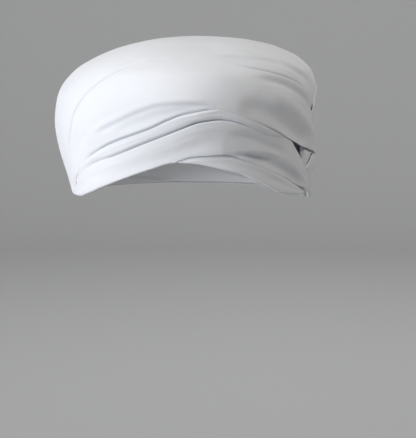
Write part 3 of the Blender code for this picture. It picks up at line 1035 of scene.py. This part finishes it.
# Floor and backdrop
# Plain grey paper, laid flat well below the turban and bent up all round well away from it.
# It is one seamless sheet, as a studio hangs it, and it only stands behind and below.

FLOOR_LEVEL = -0.42
FLOOR_REACH = 2.0
SWEEP_BEND = 0.9
SWEEP_SIDES = 96
SWEEP_STEPS = 24
PAPER = (0.46, 0.46, 0.46, 1.0)


def sweep():
    """The paper's profile, turned about the upright axis."""
    profile = [(0.5, FLOOR_LEVEL), (1.2, FLOOR_LEVEL)]
    for angle in np.linspace(0, math.pi / 2, SWEEP_STEPS):
        reach = FLOOR_REACH + SWEEP_BEND * math.sin(angle)
        profile.append((reach, FLOOR_LEVEL + SWEEP_BEND * (1 - math.cos(angle))))
    points = [(0.0, 0.0, FLOOR_LEVEL)]
    for reach, height in profile:
        for angle in np.linspace(0, 2 * math.pi, SWEEP_SIDES, endpoint=False):
            points.append((reach * math.cos(angle), reach * math.sin(angle), height))
    faces = []
    for i in range(SWEEP_SIDES):
        j = (i + 1) % SWEEP_SIDES
        faces.append((0, 1 + i, 1 + j))
        for ring in range(len(profile) - 1):
            low, high = 1 + ring * SWEEP_SIDES, 1 + (ring + 1) * SWEEP_SIDES
            faces.append((low + i, high + i, high + j, low + j))
    mesh = bpy.data.meshes.new("paper_sweep")
    mesh.from_pydata(points, [], faces)
    mesh.shade_smooth()
    paper = bpy.data.materials.new("pale_paper")
    paper.use_nodes = True
    shader = paper.node_tree.nodes["Principled BSDF"]
    shader.inputs["Base Color"].default_value = PAPER
    shader.inputs["Roughness"].default_value = 0.95
    shader.inputs["Specular IOR Level"].default_value = 0.1
    mesh.materials.append(paper)
    piece = bpy.data.objects.new("paper_sweep", mesh)
    bpy.context.scene.collection.objects.link(piece)


sweep()

# Lights
# Plain studio softboxes: a strong cool one at image left, a weak one low beside it, a warmer one high
# at image right, one overhead, and one behind the turban that lights only the backdrop.


def softbox(name, place, aim, size, watts, colour=(1.0, 1.0, 1.0)):
    """A square area light turned to its aim."""
    light = bpy.data.lights.new(name, "AREA")
    light.color = colour
    light.shape = "SQUARE"
    light.size = size
    light.energy = watts
    lamp = bpy.data.objects.new(name, light)
    lamp.location = place
    lamp.rotation_euler = (Vector(aim) - Vector(place)).to_track_quat("-Z", "Y").to_euler()
    bpy.context.scene.collection.objects.link(lamp)


BODY_CENTRE = (0.0, 0.0, -0.05)
BACKDROP_FOOT = (0.0, 2.6, -0.3)
COOL = (0.945, 0.97, 1.02)
WARM = (1.0, 0.975, 0.925)
softbox("key_softbox", (-1.42, -1.33, 0.2), BODY_CENTRE, 1.0, 36, COOL)
softbox("low_softbox", (-0.9, -1.6, -0.25), BODY_CENTRE, 0.7, 1)
softbox("fill_softbox", (1.2, -0.5, 1.5), BODY_CENTRE, 0.6, 12.3, WARM)
softbox("backdrop_softbox", (0.0, 0.9, 1.3), BACKDROP_FOOT, 0.8, 15.5)
softbox("top_softbox", (-0.2, 0.1, 1.9), BODY_CENTRE, 0.9, 8)

AIR_COLOUR = (0.95, 0.97, 1.0, 1.0)
AIR_LIGHT = 0.13

world = bpy.data.worlds.new("studio_air")
bpy.context.scene.world = world
world.use_nodes = True
air = world.node_tree.nodes["Background"]
air.inputs["Color"].default_value = AIR_COLOUR
air.inputs["Strength"].default_value = AIR_LIGHT
bpy.context.scene.view_settings.view_transform = "Standard"

# Camera
# It looks at the turban's brow from a little to image right of its middle and a little above.
# A long lens, a metre and a half away, hardly bends the turban's form.

CAMERA_DISTANCE = 1.5
CAMERA_TURN = math.radians(6.5)
CAMERA_TILT = math.radians(7.0)
PICTURE_HEIGHT = 438
PICTURE_WIDTH = 416
PIXELS_PER_METRE = 1370
AXIS_PIXEL = 192
AIM_HEIGHT = -0.123
SENSOR = 36.0


def camera():
    """The camera, placed by its distance, turn and tilt and framed by pixels a metre."""
    back = Vector((
        math.sin(CAMERA_TURN) * math.cos(CAMERA_TILT),
        -math.cos(CAMERA_TURN) * math.cos(CAMERA_TILT),
        math.sin(CAMERA_TILT),
    ))
    right = Vector((math.cos(CAMERA_TURN), math.sin(CAMERA_TURN), 0.0))
    aim = Vector((0, 0, AIM_HEIGHT)) + right * (PICTURE_WIDTH / 2 - AXIS_PIXEL) / PIXELS_PER_METRE
    lens = bpy.data.cameras.new("view")
    lens.sensor_fit = "VERTICAL"
    lens.sensor_height = SENSOR
    lens.lens = SENSOR * CAMERA_DISTANCE * PIXELS_PER_METRE / PICTURE_HEIGHT
    lens.clip_end = 30
    eye = bpy.data.objects.new("view", lens)
    eye.location = aim + back * CAMERA_DISTANCE
    eye.rotation_euler = back.to_track_quat("Z", "Y").to_euler()
    bpy.context.scene.collection.objects.link(eye)
    bpy.context.scene.camera = eye


camera()
